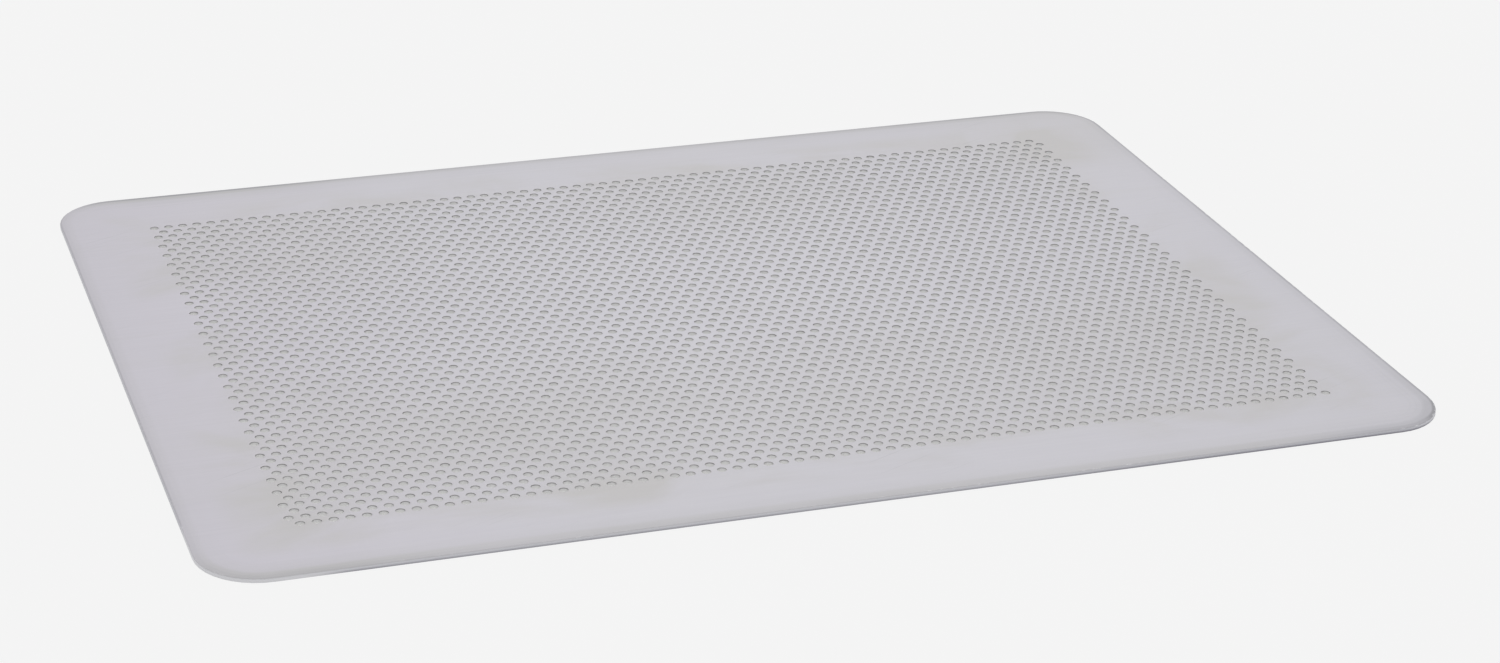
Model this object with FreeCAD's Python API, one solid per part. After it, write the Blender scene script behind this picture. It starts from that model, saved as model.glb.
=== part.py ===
"""Flat perforated baking sheet: one plate of aluminium. Sizes are in millimetres.

Frame: X runs along the long side, Y along the short side and Z up. The
origin is the middle of the underside, so the sheet rests on Z = 0 and its
baking side faces up at Z = THICKNESS.

The plate is one solid. Its two flat sides are laid out as a plain border
and one strip for each row of holes, because a single face that carries
every hole is very slow to read and to check.
"""
import FreeCAD, Part
import math
import os

# The blank: a sheared plate with rounded corners and dressed edges.
LENGTH = 400.0
WIDTH = 300.0
THICKNESS = 1.5
CORNER_RADIUS = 20.0
EDGE_ROUND = 0.5

# The perforation: round holes on equilateral triangles, in straight rows
# along the long side, with every second row set over by half a pitch.
HOLE_DIAMETER = 3.0
PITCH = 5.0
STAGGER_ANGLE = 60.0
ROWS = 56
HOLES_PER_ROW = 68

ROW_GAP = PITCH * math.sin(math.radians(STAGGER_ANGLE))
ROW_OFFSET = PITCH / 4
FIELD_HALF_LENGTH = HOLES_PER_ROW * PITCH / 2 + ROW_OFFSET
FIELD_HALF_WIDTH = ROWS * ROW_GAP / 2

UP_THE_THICKNESS = FreeCAD.Vector(0, 0, THICKNESS)
TOLERANCE = 1e-6


def outline_wire():
    """The sheet's outline at Z = 0: four straight sides joined by corner arcs."""
    half_length = LENGTH / 2
    half_width = WIDTH / 2
    bulge = CORNER_RADIUS * math.sqrt(0.5)
    edges = []
    side_start = FreeCAD.Vector(CORNER_RADIUS - half_length, -half_width, 0)
    for right, back in ((1, -1), (1, 1), (-1, 1), (-1, -1)):
        centre = FreeCAD.Vector(right * (half_length - CORNER_RADIUS),
                                back * (half_width - CORNER_RADIUS), 0)
        on_end = centre + FreeCAD.Vector(right * CORNER_RADIUS, 0, 0)
        on_side = centre + FreeCAD.Vector(0, back * CORNER_RADIUS, 0)
        middle = centre + FreeCAD.Vector(right * bulge, back * bulge, 0)
        arc_start, arc_end = (on_side, on_end) if right * back < 0 else (on_end, on_side)
        edges.append(Part.LineSegment(side_start, arc_start).toShape())
        edges.append(Part.Arc(arc_start, middle, arc_end).toShape())
        side_start = arc_end
    return Part.Wire(edges)


def field_wire():
    """The border's opening, run clockwise, with a corner where each two strips meet."""
    row_lines = [FIELD_HALF_WIDTH - row * ROW_GAP for row in range(ROWS + 1)]
    right_side = [FreeCAD.Vector(FIELD_HALF_LENGTH, y, 0) for y in row_lines]
    left_side = [FreeCAD.Vector(-FIELD_HALF_LENGTH, y, 0) for y in reversed(row_lines)]
    return Part.makePolygon(right_side + left_side + right_side[:1])


def hole_wire(x, y):
    """One hole's rim, run clockwise so that it bounds an opening."""
    centre = FreeCAD.Vector(x, y, 0)
    circle = Part.Circle(centre, FreeCAD.Vector(0, 0, -1), HOLE_DIAMETER / 2)
    return Part.Wire(circle.toShape())


def on_the_outline(edge, height):
    """True for an edge of the sheet's outline at this height."""
    box = edge.BoundBox
    level = abs(box.ZMin - height) < TOLERANCE and abs(box.ZMax - height) < TOLERANCE
    reach_x = max(abs(box.XMin), abs(box.XMax))
    reach_y = max(abs(box.YMin), abs(box.YMax))
    outer = reach_x > LENGTH / 2 - TOLERANCE or reach_y > WIDTH / 2 - TOLERANCE
    return level and outer


def inside_the_metal(face):
    """True for the upright flats where the border and the strips meet each other."""
    box = face.BoundBox
    upright = isinstance(face.Surface, Part.Plane) and box.ZLength > TOLERANCE
    in_length = max(abs(box.XMin), abs(box.XMax)) < FIELD_HALF_LENGTH + TOLERANCE
    in_width = max(abs(box.YMin), abs(box.YMax)) < FIELD_HALF_WIDTH + TOLERANCE
    return upright and in_length and in_width


def border_faces():
    """The plain border: its two flat sides and the rounded outer edge."""
    base = Part.Face(outline_wire())
    base.cutHoles([field_wire()])
    border = base.extrude(UP_THE_THICKNESS)
    rim = [edge for edge in border.Edges
           if on_the_outline(edge, 0) or on_the_outline(edge, THICKNESS)]
    border = border.makeFillet(EDGE_ROUND, rim)
    return [face for face in border.Faces if not inside_the_metal(face)]


def row_faces(row):
    """One row of holes, counted from the back: its two flat sides and the hole walls."""
    y = ((ROWS - 1) / 2 - row) * ROW_GAP
    row_shift = ROW_OFFSET if row % 2 else -ROW_OFFSET
    strip = Part.makePlane(2 * FIELD_HALF_LENGTH, ROW_GAP,
                           FreeCAD.Vector(-FIELD_HALF_LENGTH, y - ROW_GAP / 2, 0))
    columns = [(column - (HOLES_PER_ROW - 1) / 2) * PITCH for column in range(HOLES_PER_ROW)]
    strip.cutHoles([hole_wire(x + row_shift, y) for x in columns])
    pierced = strip.extrude(UP_THE_THICKNESS)
    return [face for face in pierced.Faces if not inside_the_metal(face)]


def perforated_sheet():
    """The whole sheet, sewn from its border and its rows of holes into one solid."""
    faces = border_faces()
    for row in range(ROWS):
        faces += row_faces(row)
    return Part.Solid(Part.Shell(faces))


os.makedirs("parts", exist_ok=True)
sheet = perforated_sheet()
sheet.exportStep("parts/perforated_sheet.step")
print("perforated_sheet:", len(sheet.Faces), "faces, closed", sheet.Shells[0].isClosed(),
      "valid", sheet.isValid(), "volume", round(sheet.Volume, 1))
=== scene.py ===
import math

import bpy
from mathutils import Matrix, Vector
from mathutils.geometry import delaunay_2d_cdt


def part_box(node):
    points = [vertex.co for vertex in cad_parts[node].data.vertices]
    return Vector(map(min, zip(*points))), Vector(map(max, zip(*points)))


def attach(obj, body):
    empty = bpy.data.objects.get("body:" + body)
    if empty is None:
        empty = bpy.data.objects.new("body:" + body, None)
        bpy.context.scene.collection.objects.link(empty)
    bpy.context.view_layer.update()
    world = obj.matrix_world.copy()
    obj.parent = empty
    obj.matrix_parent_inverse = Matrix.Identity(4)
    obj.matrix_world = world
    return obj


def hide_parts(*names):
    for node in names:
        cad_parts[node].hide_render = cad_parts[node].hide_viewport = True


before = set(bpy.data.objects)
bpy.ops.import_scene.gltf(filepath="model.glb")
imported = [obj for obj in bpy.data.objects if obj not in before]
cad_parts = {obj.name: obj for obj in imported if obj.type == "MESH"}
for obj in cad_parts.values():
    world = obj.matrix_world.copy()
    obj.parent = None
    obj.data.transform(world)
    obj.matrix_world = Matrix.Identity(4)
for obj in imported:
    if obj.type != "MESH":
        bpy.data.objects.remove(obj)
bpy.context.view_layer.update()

# A flat perforated aluminium baking sheet, lying on a pale floor. Lengths are in metres. The sheet's
# long side runs along X, the front edge is towards -Y, and Z = 0 is the plane of its underside.

MM = 0.001
NODE = "perforated_sheet"
LOW, HIGH = (Vector(corner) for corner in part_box(NODE))
LENGTH, WIDTH, THICKNESS = HIGH - LOW

# The outline and the rolled-down border
CORNER_RADIUS = 20 * MM
CORNER_STEPS = 10
LONG_SIDE_STEPS = 14
SHORT_SIDE_STEPS = 10
SHOULDER_WIDTH = 5 * MM      # how far in from the edge the face begins to fall
SHOULDER_DROP = 0.12 * MM    # how far it has fallen where the edge's round begins
SHOULDER_STEPS = 3
TOP_ROUND = 0.55 * MM
TOP_ROUND_STEPS = 4
UNDER_ROUND = 0.2 * MM
UNDER_ROUND_STEPS = 2

# The perforation: round holes in rows along X, each row half a pitch along from the last
HOLE_RADIUS = 1.5 * MM
PITCH = 5 * MM
ROW_GAP = PITCH * math.sin(math.radians(60))
ROWS = 56
HOLES_PER_ROW = 68
ROW_OFFSET = PITCH / 4       # even rows stand this far to the left, odd rows to the right
HOLE_SIDES = 12
HOLE_CORNER_RADIUS = HOLE_RADIUS * math.sqrt(math.pi / 3)   # twelve sides with the round hole's area

UP = (0, 0, 1)
DOWN = (0, 0, -1)


# ---------------------------------------------------------------- mesh of the sheet

class Surface:
    """Points and faces, with a shading normal and a map position for every corner of a face."""

    def __init__(self):
        self.points = []
        self.faces = []
        self.normals = []
        self.map_places = []

    def point(self, x, y, z):
        self.points.append((x, y, z))
        return len(self.points) - 1

    def face(self, corners, normals, map_places):
        self.faces.append(corners)
        self.normals.extend(normals)
        self.map_places.extend(map_places)

    def flat_face(self, corners, upward):
        """A level face, given counterclockwise as seen from above."""
        place = top_place if upward else under_place
        order = corners if upward else corners[::-1]
        normal = UP if upward else DOWN
        self.face(order, [normal] * len(order), [place(*self.points[c][:2]) for c in order])


# Where each part of the surface lies on the square map, as fractions of its side
MAP_MARGIN = 0.004
TOP_SCALE = (1 - 2 * MAP_MARGIN) / LENGTH
RIM_STRIP = (0.757, 0.783)
UNDER_START = (0.795, 0.01)
UNDER_SCALE = 0.65
HOLE_STRIP = (0.80, 0.99)
HOLE_STRIP_HEIGHT = (0.32, 0.38)


def top_place(x, y):
    """A point on the top. The sheet's length runs up the map."""
    return MAP_MARGIN + (WIDTH / 2 - y) * TOP_SCALE, MAP_MARGIN + (x + LENGTH / 2) * TOP_SCALE


def under_place(x, y):
    """A point on the underside, which lies beside the top at a smaller scale."""
    start_u, start_v = UNDER_START
    return start_u + (y + WIDTH / 2) * UNDER_SCALE, start_v + (x + LENGTH / 2) * UNDER_SCALE


def between(ends, fraction):
    start, end = ends
    return start + (end - start) * fraction


def hole_place(turn, height):
    """A point on a hole's wall, by its part of the turn and of the height. All holes share one strip."""
    return between(HOLE_STRIP, turn), between(HOLE_STRIP_HEIGHT, height)


def rim_place(across, along):
    """A point on the outer edge, by its part of the way down the edge and of the way round the sheet."""
    return between(RIM_STRIP, across), between((MAP_MARGIN, 1 - MAP_MARGIN), along)


def hole_centre(row, column):
    """The middle of a hole. Rows count from the back and columns from the left."""
    shift = ROW_OFFSET if row % 2 else -ROW_OFFSET
    x = (column - (HOLES_PER_ROW - 1) / 2) * PITCH + shift
    y = ((ROWS - 1) / 2 - row) * ROW_GAP
    return x, y


def neighbour(row, column, sixth):
    """The hole next to this one, in the direction of sixth times 60 degrees (0, 1 or 2)."""
    if sixth == 0:
        return row, column + 1
    right_of_it = row % 2
    return row - 1, column + right_of_it - (sixth - 1)


# The directions from a hole's middle to its corners, the first one half a side past +X
CORNER_ANGLES = [math.radians(360 * (number + 0.5) / HOLE_SIDES) for number in range(HOLE_SIDES)]
CORNER_DIRECTIONS = [(math.cos(angle), math.sin(angle)) for angle in CORNER_ANGLES]


def pierce(surface, height):
    """The corners of every hole at one height, by row and column."""
    rims = {}
    for row in range(ROWS):
        for column in range(HOLES_PER_ROW):
            x, y = hole_centre(row, column)
            rims[row, column] = [
                surface.point(x + HOLE_CORNER_RADIUS * dx, y + HOLE_CORNER_RADIUS * dy, height)
                for dx, dy in CORNER_DIRECTIONS
            ]
    return rims


def web(rims):
    """The metal between the holes: a strip from each hole to the next, and a patch between each three.

    A hole's corners are numbered counterclockwise from +X, two to each sixth of a turn.
    """
    faces = []

    def corner(hole, number):
        return rims[hole][number % HOLE_SIDES]

    for hole in rims:
        around = [neighbour(*hole, sixth) for sixth in (0, 1, 2)]
        for sixth, other in enumerate(around):
            if other in rims:
                turn = 2 * sixth
                faces.append([corner(hole, turn - 1), corner(other, turn + 6),
                              corner(other, turn + 5), corner(hole, turn)])
        for sixth in (0, 1):
            right, left = around[sixth], around[sixth + 1]
            if right in rims and left in rims:
                turn = 2 * sixth
                faces.append([corner(hole, turn), corner(right, turn + 5), corner(right, turn + 4),
                              corner(left, turn + 9), corner(left, turn + 8), corner(hole, turn + 1)])
    return faces


def field_edge(rims, web_faces):
    """The loop of points round the outside of the perforation, counterclockwise."""
    edges = set()
    for face in web_faces:
        edges.update(zip(face, face[1:] + face[:1]))
    for rim in rims.values():
        edges.update(zip(rim, rim[1:] + rim[:1]))
    following = {a: b for a, b in edges if (b, a) not in edges}
    loop = [min(following)]
    while following[loop[-1]] != loop[0] and len(loop) <= len(following):
        loop.append(following[loop[-1]])
    return loop


def outline_stations():
    """Points round the outline, counterclockwise, each as (x, y, outward x, outward y)."""
    stations = []
    half_length = LENGTH / 2 - CORNER_RADIUS
    half_width = WIDTH / 2 - CORNER_RADIUS
    for quarter, (side_x, side_y) in enumerate(((1, 1), (-1, 1), (-1, -1), (1, -1))):
        for step in range(CORNER_STEPS + 1):
            angle = math.radians(90 * (quarter + step / CORNER_STEPS))
            out_x, out_y = math.cos(angle), math.sin(angle)
            stations.append((side_x * half_length + CORNER_RADIUS * out_x,
                             side_y * half_width + CORNER_RADIUS * out_y, out_x, out_y))
        x, y, out_x, out_y = stations[-1]
        along_x = quarter % 2 == 0
        run = 2 * (half_length if along_x else half_width)
        steps = LONG_SIDE_STEPS if along_x else SHORT_SIDE_STEPS
        for step in range(1, steps):
            far = run * step / steps
            stations.append((x - out_y * far, y + out_x * far, out_x, out_y))
    return stations


def border_profile():
    """Section through the border, as (distance in from the edge, height, outward lean, upward lean)."""
    section = []
    slope_end = math.atan(2 * SHOULDER_DROP / (SHOULDER_WIDTH - TOP_ROUND))
    for step in range(SHOULDER_STEPS):
        part = step / SHOULDER_STEPS
        lean = slope_end * part
        section.append((SHOULDER_WIDTH + (TOP_ROUND - SHOULDER_WIDTH) * part,
                        THICKNESS - SHOULDER_DROP * part ** 2, math.sin(lean), math.cos(lean)))
    round_centre = THICKNESS - SHOULDER_DROP - TOP_ROUND * math.cos(slope_end)
    for step in range(TOP_ROUND_STEPS + 1):
        lean = slope_end + (math.pi / 2 - slope_end) * step / TOP_ROUND_STEPS
        section.append((TOP_ROUND * (1 - math.sin(lean)), round_centre + TOP_ROUND * math.cos(lean),
                        math.sin(lean), math.cos(lean)))
    for step in range(UNDER_ROUND_STEPS + 1):
        lean = math.pi / 2 * step / UNDER_ROUND_STEPS
        section.append((UNDER_ROUND * (1 - math.cos(lean)), UNDER_ROUND * (1 - math.sin(lean)),
                        math.cos(lean), -math.sin(lean)))
    return section


def add_border(surface):
    """The rolled-down edge all round. Returns its innermost loop on the top and on the underside."""
    stations = outline_stations()
    section = border_profile()
    loops = []
    for inset, height, _, _ in section:
        loops.append([surface.point(x - out_x * inset, y - out_y * inset, height)
                      for x, y, out_x, out_y in stations])

    def leaning(station, row):
        _, _, out_x, out_y = stations[station]
        _, _, outward, upward = section[row]
        return out_x * outward, out_y * outward, upward

    for row in range(len(section) - 1):
        for station in range(len(stations)):
            after = (station + 1) % len(stations)
            corners = [(row, station), (row + 1, station), (row + 1, after), (row, after)]
            points = [loops[r][s] for r, s in corners]
            if row < SHOULDER_STEPS:
                places = [top_place(*surface.points[p][:2]) for p in points]
            else:
                across = [(row + step - SHOULDER_STEPS) / (len(section) - 1 - SHOULDER_STEPS)
                          for step in (0, 1)]
                along = [(station + step) / len(stations) for step in (0, 1)]
                places = [rim_place(across[a], along[b]) for a, b in ((0, 0), (1, 0), (1, 1), (0, 1))]
            surface.face(points, [leaning(s, r) for r, s in corners], places)
    return loops[0], loops[-1]


def margin_faces(surface, inner, outer):
    """Triangles between the perforation and the border's loop, both given counterclockwise."""
    points = inner + outer
    inner_count = len(inner)
    edges = [(n, (n + 1) % inner_count) for n in range(inner_count)]
    edges += [(inner_count + n, inner_count + (n + 1) % len(outer)) for n in range(len(outer))]
    flat = [Vector(surface.points[p][:2]) for p in points]
    within_loops = 1
    _, _, triangles, origins, _, _ = delaunay_2d_cdt(flat, edges, [], within_loops, 0)
    faces = []
    for triangle in triangles:
        corners = sorted(origins[number][0] for number in triangle)
        a, b, c = (flat[number] for number in corners)
        counterclockwise = (b - a).cross(c - a) > 0
        among_the_holes = corners[-1] < inner_count and counterclockwise
        if not among_the_holes:
            ordered = corners if counterclockwise else corners[::-1]
            faces.append([points[number] for number in ordered])
    return faces


def add_side(surface, upward, height, edge_loop):
    """One flat side of the sheet, out to the border's loop. Returns the corners of its holes."""
    holes = pierce(surface, height)
    between_holes = web(holes)
    margin = margin_faces(surface, field_edge(holes, between_holes), edge_loop)
    for face in between_holes + margin:
        surface.flat_face(face, upward)
    return holes


def add_hole_walls(surface, top_rims, under_rims):
    """The wall of every hole, with one face on each of its sides."""
    for hole, top in top_rims.items():
        under = under_rims[hole]
        for side in range(HOLE_SIDES):
            after = (side + 1) % HOLE_SIDES
            inward = [(-CORNER_DIRECTIONS[n][0], -CORNER_DIRECTIONS[n][1], 0) for n in (side, after)]
            start, end = side / HOLE_SIDES, (side + 1) / HOLE_SIDES
            places = [hole_place(*place) for place in ((start, 1), (end, 1), (end, 0), (start, 0))]
            surface.face([top[side], top[after], under[after], under[side]],
                         [inward[0], inward[1], inward[1], inward[0]], places)


def sheet_surface():
    """Every face of the sheet: its border, its two flat sides and the walls of its holes."""
    surface = Surface()
    top_loop, under_loop = add_border(surface)
    top_rims = add_side(surface, True, THICKNESS, top_loop)
    under_rims = add_side(surface, False, 0.0, under_loop)
    add_hole_walls(surface, top_rims, under_rims)
    return surface


def make_sheet():
    """The whole sheet as one mesh, with its own shading normals and its own map."""
    surface = sheet_surface()
    mesh = bpy.data.meshes.new("baking_sheet")
    mesh.from_pydata(surface.points, [], surface.faces)
    mesh.update()
    mesh.polygons.foreach_set("use_smooth", [True] * len(mesh.polygons))
    mesh.normals_split_custom_set(surface.normals)
    bake_map = mesh.uv_layers.new(name="OFBake")
    bake_map.uv.foreach_set("vector", [number for place in surface.map_places for number in place])
    sheet = bpy.data.objects.new("baking_sheet", mesh)
    bpy.context.scene.collection.objects.link(sheet)
    return sheet


# ---------------------------------------------------------------- materials

class Nodes:
    """Shorthand for building a material's node tree. A value is a number, a tuple or a socket."""

    def __init__(self, tree):
        self.tree = tree

    def add(self, kind, **settings):
        node = self.tree.nodes.new(kind)
        for name, value in settings.items():
            setattr(node, name, value)
        return node

    def feed(self, socket, value):
        if isinstance(value, bpy.types.NodeSocket):
            self.tree.links.new(value, socket)
        else:
            socket.default_value = value

    def math(self, operation, first, second=None, third=None, clamp=False):
        node = self.add("ShaderNodeMath", operation=operation, use_clamp=clamp)
        for socket, value in zip(node.inputs, (first, second, third)):
            if value is not None:
                self.feed(socket, value)
        return node.outputs[0]

    def vector(self, operation, first, second=None, third=None):
        node = self.add("ShaderNodeVectorMath", operation=operation)
        for socket, value in zip(node.inputs, (first, second, third)):
            if value is not None:
                self.feed(socket, value)
        return node.outputs["Value"] if operation == "LENGTH" else node.outputs[0]

    def times(self, first, second, clamp=False):
        return self.math("MULTIPLY", first, second, clamp=clamp)

    def plus(self, first, second, clamp=False):
        return self.math("ADD", first, second, clamp=clamp)

    def apart(self, vector):
        """The three coordinates of a vector."""
        node = self.add("ShaderNodeSeparateXYZ")
        self.feed(node.inputs[0], vector)
        return node.outputs

    def ramp(self, value, start, end, low=0.0, high=1.0):
        """A soft step of the value: low up to start, and high from end on. Start may be past end."""
        node = self.add("ShaderNodeMapRange", interpolation_type="SMOOTHSTEP")
        self.feed(node.inputs["Value"], value)
        node.inputs["From Min"].default_value = start
        node.inputs["From Max"].default_value = end
        node.inputs["To Min"].default_value = low
        node.inputs["To Max"].default_value = high
        return node.outputs[0]

    def beyond(self, value, limit):
        """1 where value is further than limit from 0 on either side, otherwise 0."""
        return self.math("GREATER_THAN", self.math("ABSOLUTE", value), limit)

    def noise(self, place, stretch, detail=2.0, roughness=0.5, distortion=0.0):
        """Noise from 0 to 1 with stretch waves per metre along X, Y and Z."""
        scaled = self.vector("MULTIPLY", place, stretch)
        node = self.add("ShaderNodeTexNoise", noise_dimensions="3D")
        self.feed(node.inputs["Vector"], scaled)
        node.inputs["Scale"].default_value = 1.0
        node.inputs["Detail"].default_value = detail
        node.inputs["Roughness"].default_value = roughness
        node.inputs["Distortion"].default_value = distortion
        return node.outputs["Fac"]

    def blend(self, factor, first, second, blend_type="MIX"):
        """The first colour where the factor is 0 and the second where it is 1."""
        node = self.add("ShaderNodeMix", data_type="RGBA", blend_type=blend_type)
        self.feed(node.inputs[0], factor)
        self.feed(node.inputs[6], first)
        self.feed(node.inputs[7], second)
        return node.outputs[2]


class MetalNodes(Nodes):
    """Nodes for the sheet's metal, with the places and patterns that every part of its look works from."""

    def __init__(self, tree):
        super().__init__(tree)
        self.place = self.add("ShaderNodeTexCoord").outputs["Object"]
        self.x, self.y, self.height = self.apart(self.place)
        self.edge = self.from_edge()
        self.rolling = self.noise(self.place, ROLLING_WAVES, detail=3.0, roughness=0.65)
        self.clouds = self.noise(self.place, CLOUD_WAVES, detail=4.0, roughness=0.6, distortion=0.6)
        # painted light: the spot where the rim is painted pale
        self.bright = self.spot(*PAINTED_LIGHT_CORNER)

    def from_edge(self):
        """How far a point lies in from the sheet's outline."""
        positive = self.vector("ABSOLUTE", self.place)
        core = (LENGTH / 2 - CORNER_RADIUS, WIDTH / 2 - CORNER_RADIUS, 1.0)
        past = self.vector("SUBTRACT", positive, core)
        past_x, past_y, _ = self.apart(past)
        inside = self.math("MINIMUM", self.math("MAXIMUM", past_x, past_y), 0.0)
        outside = self.vector("LENGTH", self.vector("MAXIMUM", past, (0.0, 0.0, 0.0)))
        return self.math("SUBTRACT", CORNER_RADIUS, self.plus(inside, outside))

    def along(self, start, end, low=0.0, high=1.0):
        """A soft step along the sheet, between two places given as fractions of its length."""
        return self.ramp(self.x, start * LENGTH, end * LENGTH, low, high)

    def across(self, start, end, low=0.0, high=1.0):
        """A soft step across the sheet, between two places given as fractions of its width."""
        return self.ramp(self.y, start * WIDTH, end * WIDTH, low, high)

    def inward(self, start, end, low=0.0, high=1.0):
        """A soft step inwards, between two distances from the outline."""
        return self.ramp(self.edge, start, end, low, high)

    def uneven(self, pattern, low, high):
        """A factor that wanders between low and high with a noise pattern."""
        return self.ramp(pattern, 0.3, 0.7, low, high)

    def spot(self, along, across, reach, core, strength):
        """A soft round spot, full out to its core and gone at its reach.

        Its middle is given as fractions of the sheet's length and width.
        """
        offset = self.vector("SUBTRACT", self.place, (along * LENGTH, across * WIDTH, 0.0))
        return self.ramp(self.vector("LENGTH", offset), reach, core, 0.0, strength)

    def worn_spots(self, listed):
        """The strengths of the listed spots, added up."""
        total = 0.0
        for along, across, reach, strength in listed:
            total = self.plus(total, self.spot(along, across, reach, SPOT_CORE * reach, strength))
        return total


# Tones of the metal, and of the painted light and shade on it, as linear colour
FACE_TONE = (0.656, 0.646, 0.684, 1)
FACE_TONE_LEFT = (0.660, 0.641, 0.690, 1)
STREAK_SHADE = (0.984, 0.984, 0.986, 1)
STAIN_TONE = (0.612, 0.600, 0.600, 1)
# the band by the outline: part burnishing, part painted shade
SHADED_BAND_TONE = (0.562, 0.555, 0.561, 1)
SHADED_BAND_TONE_RIGHT = (0.560, 0.555, 0.585, 1)
# painted shade: the dark line along the edge and in the crease where it turns down
EDGE_SHADE_TONE = (0.400, 0.398, 0.418, 1)
RIM_TONE = (0.600, 0.600, 0.632, 1)
# painted shade towards the rim's ends and a painted shadow at its foot
RIM_SHADE_TONE_ENDS = (0.535, 0.535, 0.572, 1)
RIM_FOOT_SHADOW_TONE = (0.300, 0.297, 0.330, 1)
RIM_FOOT_SHADOW_TONE_RIGHT = (0.200, 0.195, 0.228, 1)
# painted light on the rim at one corner
RIM_PAINTED_LIGHT_TONE = (0.650, 0.648, 0.668, 1)
# painted highlights on the edge's crest
PAINTED_GLINT_TONE = (0.800, 0.800, 0.810, 1)
# holes: a painted highlight on the lip, a painted reflection in the dark shear zone, painted light on the
# paler wall below
HOLE_LIP_HIGHLIGHT_TONE = (0.650, 0.642, 0.650, 1)
HOLE_MOUTH_SHADE_DARK = (0.285, 0.280, 0.284, 1)
HOLE_MOUTH_SHADE_PALE = (0.430, 0.425, 0.428, 1)
HOLE_WALL_LIT_TONE = (0.710, 0.708, 0.706, 1)
HOLE_FOOT_LIT_TONE = (0.700, 0.698, 0.692, 1)
SCRATCH_TONE = (0.540, 0.535, 0.560, 1)
# painted highlight: the tone that the middle of the face is lightened to
PAINTED_SHEEN_TONE = (0.690, 0.681, 0.722, 1)

# Patterns in the metal, in waves per metre along X, Y and Z
ROLLING_WAVES = (5.0, 650.0, 1.0)
GRAIN_WAVES = (60.0, 2200.0, 1.0)
CLOUD_WAVES = (16.0, 22.0, 1.0)
DRIFT_WAVES = (5.0, 90.0, 1.0)
HAIRLINE_WAVES = (14.0, 1300.0, 1.0)
HAIRLINE_PATCH_WAVES = (23.0, 31.0, 1.0)
POLISH_WAVES = (900.0, 7.0, 7.0)      # inwards from the outline, along the sheet and across it
LINE_PATCH_WAVES = (22.0, 22.0, 1.0)
GLINT_WAVES = (380.0, 380.0, 1.0)
GLINT_PATCH_WAVES = (28.0, 28.0, 1.0)
TEAR_WAVES = (330.0, 330.0, 200.0)
HOLE_TO_HOLE_WAVES = (170.0, 170.0, 1.0)

# Soft round spots of worn metal, stains and painted shade, each as (fraction of the length, of the width,
# reach, strength)
SPOT_CORE = 0.2                       # part of the reach over which a spot has its full strength
RUBBED_AND_SHADED_SPOTS = (                      # on the border: worn by handling, and painted shade, most at the front right corner and along the back
    (0.48, -0.46, 55 * MM, 0.34),
    (0.492, -0.466, 9 * MM, 0.70),
    (-0.41, -0.50, 50 * MM, 0.22),
    (-0.36, 0.50, 55 * MM, 0.85),
    (0.38, 0.50, 70 * MM, 0.30),
)
DULLED_SPOTS = (                      # on the face, where baking has dulled it
    (0.45, 0.43, 85 * MM, 0.50),
    (0.47, 0.47, 65 * MM, 0.70),
    (-0.37, -0.24, 75 * MM, 0.45),
    (-0.15, -0.27, 85 * MM, 0.45),
    (0.10, -0.27, 80 * MM, 0.40),
    (0.33, -0.25, 75 * MM, 0.40),
    (-0.33, 0.33, 70 * MM, 0.35),
    (0.08, 0.37, 75 * MM, 0.35),
)
# The corner whose rim is painted pale as painted light, as (fraction of the length, of the width, reach,
# core, strength)
PAINTED_LIGHT_CORNER = (-0.475, -0.47, 36 * MM, 20 * MM, 0.85)

# The face
PAINTED_SHEEN_STRENGTH = 0.6
STAIN_STRENGTH = 0.8
DRIFT_STRENGTH = 0.3
SCRATCH_STRENGTH = 0.6
SCRATCH_DIRECTION = math.radians(-24)


def stains(metal):
    """How far baking has stained the face: in a ring by the perforation's edge, in drifts and in spots."""
    ring = metal.times(metal.inward(46 * MM, 28 * MM), metal.inward(9 * MM, 22 * MM))
    ring = metal.times(ring, metal.ramp(metal.clouds, 0.42, 0.72, 0.0, STAIN_STRENGTH))
    drifts = metal.noise(metal.place, DRIFT_WAVES, detail=3.0)
    drifts = metal.ramp(drifts, 0.5, 0.85, 0.0, DRIFT_STRENGTH)
    dulled = metal.times(metal.worn_spots(DULLED_SPOTS), metal.uneven(metal.clouds, 0.7, 1.1))
    dulled = metal.times(dulled, metal.inward(18 * MM, 32 * MM, 0.4, 1.0))
    return metal.plus(metal.plus(ring, drifts), dulled, clamp=True)


def scratches(metal):
    """A few hairline scratches, all running the same way."""
    turned = metal.add("ShaderNodeVectorRotate", rotation_type="Z_AXIS")
    metal.feed(turned.inputs["Vector"], metal.place)
    turned.inputs["Angle"].default_value = SCRATCH_DIRECTION
    hairlines = metal.ramp(metal.noise(turned.outputs[0], HAIRLINE_WAVES, detail=1.0), 0.66, 0.74)
    patches = metal.ramp(metal.noise(metal.place, HAIRLINE_PATCH_WAVES), 0.50, 0.66)
    return metal.times(metal.times(hairlines, patches), SCRATCH_STRENGTH)


def face_colour(metal):
    """The flat face: a painted highlight in the middle, faint rolling lines, stains and scratches."""
    colour = metal.blend(metal.along(-0.15, -0.47), FACE_TONE, FACE_TONE_LEFT)
    from_middle = metal.vector("LENGTH", metal.place)
    # painted highlight: the face is lighter towards its middle
    painted_sheen = metal.ramp(from_middle, 0.5 * WIDTH, 0.1 * WIDTH, 0.0, PAINTED_SHEEN_STRENGTH)
    colour = metal.blend(painted_sheen, colour, PAINTED_SHEEN_TONE)
    colour = metal.blend(metal.ramp(metal.rolling, 0.65, 0.35), colour, STREAK_SHADE, "MULTIPLY")
    colour = metal.blend(stains(metal), colour, STAIN_TONE)
    return metal.blend(scratches(metal), colour, SCRATCH_TONE)


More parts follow.
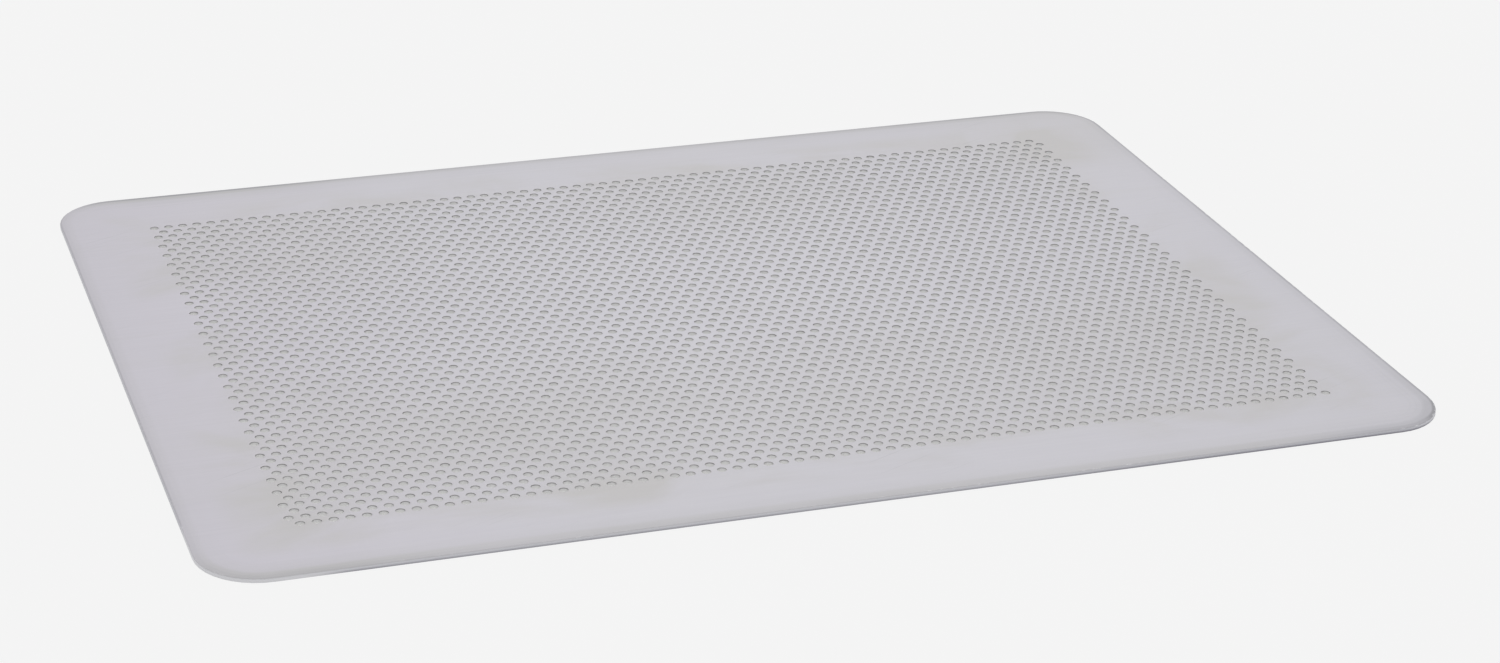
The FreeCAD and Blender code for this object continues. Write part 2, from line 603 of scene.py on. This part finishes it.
# The border: how strong each kind of worn mark and painted shade is
WEAR_AND_SHADE_FRONT = 0.45
WEAR_AND_SHADE_ALL_ROUND = 0.17
RUBBED_AND_SHADED_BACK = 0.35
RUBBED_AND_SHADED_RIGHT = 0.10
HAZE_AND_SHADE_STRENGTH = 0.3
BAND_WAVER = 2 * MM          # how far the band's inner edge wanders in and out
POLISH_STRENGTH = 0.7
LINE_ALL_ROUND = 0.08
LINE_MORE_RIGHT = 0.42
LINE_WHERE_RUBBED_AND_SHADED = 0.75
LINE_NARROWER_RIGHT = 0.8 * MM   # how much nearer the outline the line ends on the right
CREASE_SHADE_LONG_SIDES = 0.06
CREASE_SHADE_SHORT_SIDES = 0.35


def rubbed_and_shaded_border(metal):
    """How much the border is worn by handling and darkened with painted shade: along the back, on the
    right and in spots.
    """
    back = metal.times(metal.across(0.44, 0.49, 0.0, RUBBED_AND_SHADED_BACK), metal.along(-0.485, -0.455))
    right = metal.along(0.44, 0.49, 0.0, RUBBED_AND_SHADED_RIGHT)
    return metal.plus(metal.math("MAXIMUM", back, right), metal.worn_spots(RUBBED_AND_SHADED_SPOTS))


def add_burnished_and_shaded_band(metal, colour, rubbed_and_shaded):
    """A darker band by the outline and a faint darkening inside it, strongest at the front: part
    burnishing, part painted shade.
    """
    front = metal.across(-0.42, -0.485, 0.0, WEAR_AND_SHADE_FRONT)
    wear_and_shade = metal.plus(metal.plus(front, rubbed_and_shaded), WEAR_AND_SHADE_ALL_ROUND)
    wear_and_shade = metal.times(wear_and_shade, metal.uneven(metal.clouds, 0.8, 1.15))
    on_right = metal.times(metal.along(0.34, 0.43), metal.across(0.45, 0.32))
    tone = metal.blend(on_right, SHADED_BAND_TONE, SHADED_BAND_TONE_RIGHT)
    haze_and_shade = metal.times(metal.inward(12 * MM, 4 * MM, 0.0, HAZE_AND_SHADE_STRENGTH), wear_and_shade, clamp=True)
    waver = metal.math("MULTIPLY_ADD", metal.clouds, BAND_WAVER, -BAND_WAVER / 2)
    wavering_edge = metal.plus(metal.edge, waver)
    band = metal.times(metal.ramp(wavering_edge, 5.0 * MM, 2.8 * MM), wear_and_shade, clamp=True)
    return metal.blend(band, metal.blend(haze_and_shade, colour, tone), tone)


def add_polish_lines(metal, colour, rubbed_and_shaded):
    """Fine lines running round the border, where it is worn and shaded most."""
    round_and_round = metal.add("ShaderNodeCombineXYZ")
    for socket, value in zip(round_and_round.inputs, (metal.edge, metal.x, metal.y)):
        metal.feed(socket, value)
    lines = metal.noise(round_and_round.outputs[0], POLISH_WAVES, detail=3.0, roughness=0.7)
    polish = metal.times(metal.inward(18 * MM, 3 * MM), metal.times(rubbed_and_shaded, POLISH_STRENGTH))
    polish = metal.times(polish, metal.ramp(lines, 0.50, 0.72), clamp=True)
    return metal.blend(polish, colour, SCRATCH_TONE)


def add_edge_shade_line(metal, colour, rubbed_and_shaded):
    """Painted shade: a dark line on the very edge, patchy all round, narrower and darker on the right
    side.
    """
    on_right = metal.along(0.470, 0.490)
    base = metal.math("MULTIPLY_ADD", on_right, LINE_MORE_RIGHT, LINE_ALL_ROUND)
    strength = metal.math("MULTIPLY_ADD", rubbed_and_shaded, LINE_WHERE_RUBBED_AND_SHADED, base)
    patches = metal.noise(metal.place, LINE_PATCH_WAVES, detail=3.0)
    strength = metal.times(strength, metal.uneven(patches, 0.7, 1.2))
    line_edge = metal.math("MULTIPLY_ADD", on_right, LINE_NARROWER_RIGHT, metal.edge)
    line = metal.times(metal.ramp(line_edge, 2.5 * MM, 1.5 * MM), strength, clamp=True)
    return metal.blend(line, colour, EDGE_SHADE_TONE)


def add_crease_shade(metal, colour):
    """Painted shade: a fine dark line where the edge turns down, mostly on the short sides."""
    from_middle = metal.math("ABSOLUTE", metal.x)
    strength = metal.ramp(from_middle, 0.480 * LENGTH, 0.495 * LENGTH,
                          CREASE_SHADE_LONG_SIDES, CREASE_SHADE_SHORT_SIDES)
    strength = metal.math("SUBTRACT", strength, metal.bright)
    crease_shade = metal.times(metal.inward(0.9 * MM, 0.4 * MM), strength)
    return metal.blend(metal.math("MAXIMUM", crease_shade, 0.0), colour, EDGE_SHADE_TONE)


def add_worn_and_shaded_border(metal, colour):
    """The border's worn marks and painted shade, from its inner side out to the edge."""
    rubbed_and_shaded = rubbed_and_shaded_border(metal)
    colour = add_burnished_and_shaded_band(metal, colour, rubbed_and_shaded)
    colour = add_polish_lines(metal, colour, rubbed_and_shaded)
    colour = add_edge_shade_line(metal, colour, rubbed_and_shaded)
    return add_crease_shade(metal, colour)


def rim_colour(metal):
    """The turned-down edge: a painted shadow at its foot, painted shade towards the ends, and painted
    light at the pale corner.
    """
    right_front = metal.times(metal.along(0.0, 0.35), metal.along(0.475, 0.45))
    at_ends = metal.math("MAXIMUM", right_front, metal.along(-0.48, -0.495))
    top = metal.blend(at_ends, RIM_TONE, RIM_SHADE_TONE_ENDS)
    # painted shadow: the rim darkens towards its foot, most on the right half
    right_foot = metal.times(metal.along(0.05, 0.40), metal.along(0.485, 0.465))
    foot = metal.blend(right_foot, RIM_FOOT_SHADOW_TONE, RIM_FOOT_SHADOW_TONE_RIGHT)
    rim = metal.blend(metal.ramp(metal.height, 0.1 * MM, 1.2 * MM), foot, top)
    return metal.blend(metal.bright, rim, RIM_PAINTED_LIGHT_TONE)


def painted_glints(metal):
    """Painted highlights: light specks on the crest of the edge, in patches, and more of them on the right
    half.
    """
    specks = metal.noise(metal.place, GLINT_WAVES, detail=4.0, roughness=0.7)
    crest = metal.times(metal.inward(0.70 * MM, 0.50 * MM), metal.inward(0.15 * MM, 0.30 * MM))
    patches = metal.ramp(metal.noise(metal.place, GLINT_PATCH_WAVES), 0.44, 0.60)
    more_on_right = metal.along(-0.05, 0.20, 0.35, 1.0)
    shown = metal.times(crest, metal.times(patches, more_on_right))
    return metal.times(metal.ramp(specks, 0.50, 0.64), shown)


# The lip's tone is a painted highlight, the dark band's a painted reflection, and the paler metal's under
# it painted light.
LIP_DEPTH = 0.09 * MM        # the bright lip darkens to the sheared band by here
BAND_DEPTH = (0.24 * MM, 0.34 * MM)   # the band ends between these depths
TEAR_DEPTH = 0.24 * MM       # how far the band's end wanders up and down
FOOT_DEPTH = (0.5 * MM, 1.3 * MM)     # the metal under it takes its foot's tone between these


def hole_wall_colour(metal):
    """A painted highlight on the lip, a shear zone painted dark as a painted reflection, uneven from hole
    to hole, and painted light on the paler wall under it.
    """
    depth = metal.math("SUBTRACT", THICKNESS, metal.height)
    hole_to_hole = metal.ramp(metal.noise(metal.place, HOLE_TO_HOLE_WAVES, detail=1.0), 0.35, 0.65)
    sheared_shade = metal.blend(hole_to_hole, HOLE_MOUTH_SHADE_DARK, HOLE_MOUTH_SHADE_PALE)
    mouth = metal.blend(metal.ramp(depth, 0.0, LIP_DEPTH), HOLE_LIP_HIGHLIGHT_TONE, sheared_shade)
    lower = metal.blend(metal.ramp(depth, *FOOT_DEPTH), HOLE_WALL_LIT_TONE, HOLE_FOOT_LIT_TONE)
    tear = metal.noise(metal.place, TEAR_WAVES, detail=3.0, roughness=0.6)
    torn_depth = metal.plus(depth, metal.math("MULTIPLY_ADD", tear, TEAR_DEPTH, -TEAR_DEPTH / 2))
    return metal.blend(metal.ramp(torn_depth, *BAND_DEPTH), mouth, lower)


def hole_distance(metal):
    """How far a point lies from the middle of the nearest hole of the perforation."""
    past_rows = metal.beyond(metal.y, ROWS / 2 * ROW_GAP)
    nearest = None
    for side in (-1, 1):
        middle = (PITCH / 2 + side * ROW_OFFSET, side * ROW_GAP / 2, 0.0)
        flat = metal.vector("MULTIPLY", metal.vector("SUBTRACT", metal.place, middle), (1.0, 1.0, 0.0))
        cell = (PITCH / 2, ROW_GAP, 1.0)
        offset = metal.vector("WRAP", flat, cell, (-cell[0], -cell[1], -cell[2]))
        along_row = metal.math("SUBTRACT", metal.x, side * ROW_OFFSET)
        past_end = metal.beyond(along_row, HOLES_PER_ROW / 2 * PITCH)
        far = metal.plus(metal.vector("LENGTH", offset), metal.plus(past_end, past_rows))
        nearest = far if nearest is None else metal.math("MINIMUM", nearest, far)
    return nearest


# Heights of the fine relief, in millimetres
DIP_HEIGHT = 0.045
ROLLING_HEIGHT = 0.004
GRAIN_HEIGHT = 0.002
DIP_ENDS = (1.45 * MM, 2.1 * MM)      # distances from a hole's middle where the dip is deepest and gone

# The finish: its roughness, and what changes it
ROUGHNESS = 0.40
ROUGHER_BY_GRAIN = 0.12
ROUGHER_BY_CLOUDS = 0.06
SMOOTHER_RIM = 0.12


def relief(metal, grain):
    """The normal of the metal's surface: the face dips into each hole and carries the rolling lines."""
    dip = metal.ramp(hole_distance(metal), *DIP_ENDS, 0.0, DIP_HEIGHT)
    rolling_lines = metal.times(metal.rolling, ROLLING_HEIGHT)
    lines = metal.plus(rolling_lines, metal.times(grain, GRAIN_HEIGHT))
    bump = metal.add("ShaderNodeBump")
    bump.inputs["Strength"].default_value = 1.0
    bump.inputs["Distance"].default_value = MM
    metal.feed(bump.inputs["Height"], metal.plus(dip, lines))
    return bump.outputs["Normal"]


STEEPNESS = (0.95, 0.45)     # upward parts of the normal where steep metal begins and is fully so
RIM_WITHIN = 2 * MM          # steep metal nearer the outline than this is the turned-down edge
HOLES_BEYOND = 8 * MM        # and further in than this it is a hole's wall


def aluminium():
    """Bright rolled aluminium, matt from use, with burnished edges and punched holes; its colour also
    holds painted shade, shadow and highlights.
    """
    material = bpy.data.materials.new("satin_aluminium")
    material.use_nodes = True
    metal = MetalNodes(material.node_tree)
    shader = material.node_tree.nodes["Principled BSDF"]

    upward = metal.apart(metal.add("ShaderNodeNewGeometry").outputs["Normal"])[2]
    steep = metal.ramp(metal.math("ABSOLUTE", upward), *STEEPNESS)
    is_rim = metal.times(steep, metal.math("LESS_THAN", metal.edge, RIM_WITHIN))
    is_wall = metal.times(steep, metal.math("GREATER_THAN", metal.edge, HOLES_BEYOND))
    colour = add_worn_and_shaded_border(metal, face_colour(metal))
    # the rim, its crest and the holes carry painted shade, shadow, highlights and light in their tones
    colour = metal.blend(is_rim, colour, rim_colour(metal))
    colour = metal.blend(painted_glints(metal), colour, PAINTED_GLINT_TONE)
    colour = metal.blend(is_wall, colour, hole_wall_colour(metal))
    metal.feed(shader.inputs["Base Color"], colour)

    grain = metal.noise(metal.place, GRAIN_WAVES, detail=2.0, roughness=0.6)
    rough = metal.math("MULTIPLY_ADD", grain, ROUGHER_BY_GRAIN, ROUGHNESS)
    rough = metal.plus(rough, metal.times(metal.clouds, ROUGHER_BY_CLOUDS))
    rough = metal.math("SUBTRACT", rough, metal.times(is_rim, SMOOTHER_RIM))
    metal.feed(shader.inputs["Roughness"], rough)
    shader.inputs["Metallic"].default_value = 1.0
    metal.feed(shader.inputs["Normal"], relief(metal, grain))
    return material


FLOOR_GLOW_LOW = (0.886, 0.886, 0.886, 1)
FLOOR_GLOW_HIGH = (0.894, 0.894, 0.894, 1)
FLOOR_BASE = (0.02, 0.02, 0.02, 1)
FLOOR_WAVES = (3.0, 3.0, 3.0)


def floor_paper():
    """The floor's pale paper, lit from within so that the sheet throws no shadow on it."""
    material = bpy.data.materials.new("pale_table")
    material.use_nodes = True
    shader = material.node_tree.nodes["Principled BSDF"]
    nodes = Nodes(material.node_tree)
    place = nodes.add("ShaderNodeTexCoord").outputs["Object"]
    mottle = nodes.noise(place, FLOOR_WAVES, detail=2.0)
    nodes.feed(shader.inputs["Emission Color"], nodes.blend(mottle, FLOOR_GLOW_LOW, FLOOR_GLOW_HIGH))
    shader.inputs["Emission Strength"].default_value = 1.0
    shader.inputs["Base Color"].default_value = FLOOR_BASE
    shader.inputs["Roughness"].default_value = 1.0
    shader.inputs["Specular IOR Level"].default_value = 0.0
    return material


# ---------------------------------------------------------------- studio and camera

FLOOR_RADIUS = 4.5
FLOOR_SIDES = 64
FLOOR_DROP = 0.2 * MM        # how far the floor lies below the sheet
SWEEP_RADIUS = 2.0           # the floor's rim curves up, so that no horizon shows
SWEEP_TURN = math.radians(45)
SWEEP_STEPS = 8
SURROUND_TONE = (0.80, 0.80, 0.805, 1)


def make_floor():
    """A round pale floor whose rim curves up all round like a studio sweep."""
    points, faces = [], []
    for step in range(SWEEP_STEPS + 1):
        rise = SWEEP_TURN * step / SWEEP_STEPS
        radius = FLOOR_RADIUS + SWEEP_RADIUS * math.sin(rise)
        height = SWEEP_RADIUS * (1 - math.cos(rise))
        for side in range(FLOOR_SIDES):
            turn = 2 * math.pi * side / FLOOR_SIDES
            points.append((radius * math.cos(turn), radius * math.sin(turn), height))
    faces.append(range(FLOOR_SIDES))
    for step in range(SWEEP_STEPS):
        inner, outer = step * FLOOR_SIDES, (step + 1) * FLOOR_SIDES
        for side in range(FLOOR_SIDES):
            after = (side + 1) % FLOOR_SIDES
            faces.append((inner + side, outer + side, outer + after, inner + after))
    mesh = bpy.data.meshes.new("floor")
    mesh.from_pydata(points, [], faces)
    mesh.materials.append(floor_paper())
    floor = bpy.data.objects.new("floor", mesh)
    floor.location.z = -FLOOR_DROP
    bpy.context.scene.collection.objects.link(floor)


def make_softbox(name, position, size, power):
    """A square light that faces the middle of the sheet."""
    light = bpy.data.lights.new(name, "AREA")
    light.shape = "SQUARE"
    light.size = size
    light.energy = power
    softbox = bpy.data.objects.new(name, light)
    softbox.location = position
    softbox.rotation_euler = Vector(position).to_track_quat("Z", "Y").to_euler()
    bpy.context.scene.collection.objects.link(softbox)


def make_studio():
    """An even pale surround, with one softbox high behind the sheet."""
    world = bpy.data.worlds.new("studio")
    world.use_nodes = True
    world.node_tree.nodes["Background"].inputs["Color"].default_value = SURROUND_TONE
    bpy.context.scene.world = world
    make_softbox("high_back_softbox", position=(0.5, 1.3, 1.1), size=1.2, power=1.2)
    bpy.context.scene.view_settings.view_transform = "Standard"


CAMERA_TARGET = Vector((5.3 * MM, -22.9 * MM, THICKNESS))
CAMERA_DISTANCE = 1.126
CAMERA_HEADING = math.radians(19.30)
CAMERA_ELEVATION = math.radians(23.83)
CAMERA_ROLL = math.radians(1.50)
FOCAL_LENGTH_MM = 81.3
SENSOR_WIDTH_MM = 36.0


def make_camera():
    """The photo's camera, which looks down at the sheet from the front and a little from the left."""
    forward = Vector((math.sin(CAMERA_HEADING) * math.cos(CAMERA_ELEVATION),
                      math.cos(CAMERA_HEADING) * math.cos(CAMERA_ELEVATION),
                      -math.sin(CAMERA_ELEVATION)))
    level_right = Vector((math.cos(CAMERA_HEADING), -math.sin(CAMERA_HEADING), 0))
    level_up = level_right.cross(forward)
    right = level_right * math.cos(CAMERA_ROLL) + level_up * math.sin(CAMERA_ROLL)
    up = level_up * math.cos(CAMERA_ROLL) - level_right * math.sin(CAMERA_ROLL)
    data = bpy.data.cameras.new("camera")
    data.sensor_width = SENSOR_WIDTH_MM
    data.lens = FOCAL_LENGTH_MM
    camera = bpy.data.objects.new("camera", data)
    turn = Matrix((right, up, -forward)).transposed()
    camera.matrix_world = Matrix.LocRotScale(CAMERA_TARGET - forward * CAMERA_DISTANCE, turn, None)
    bpy.context.scene.collection.objects.link(camera)
    bpy.context.scene.camera = camera


sheet = make_sheet()
sheet.data.materials.append(aluminium())
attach(sheet, "root")
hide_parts(NODE)

make_floor()
make_studio()
make_camera()
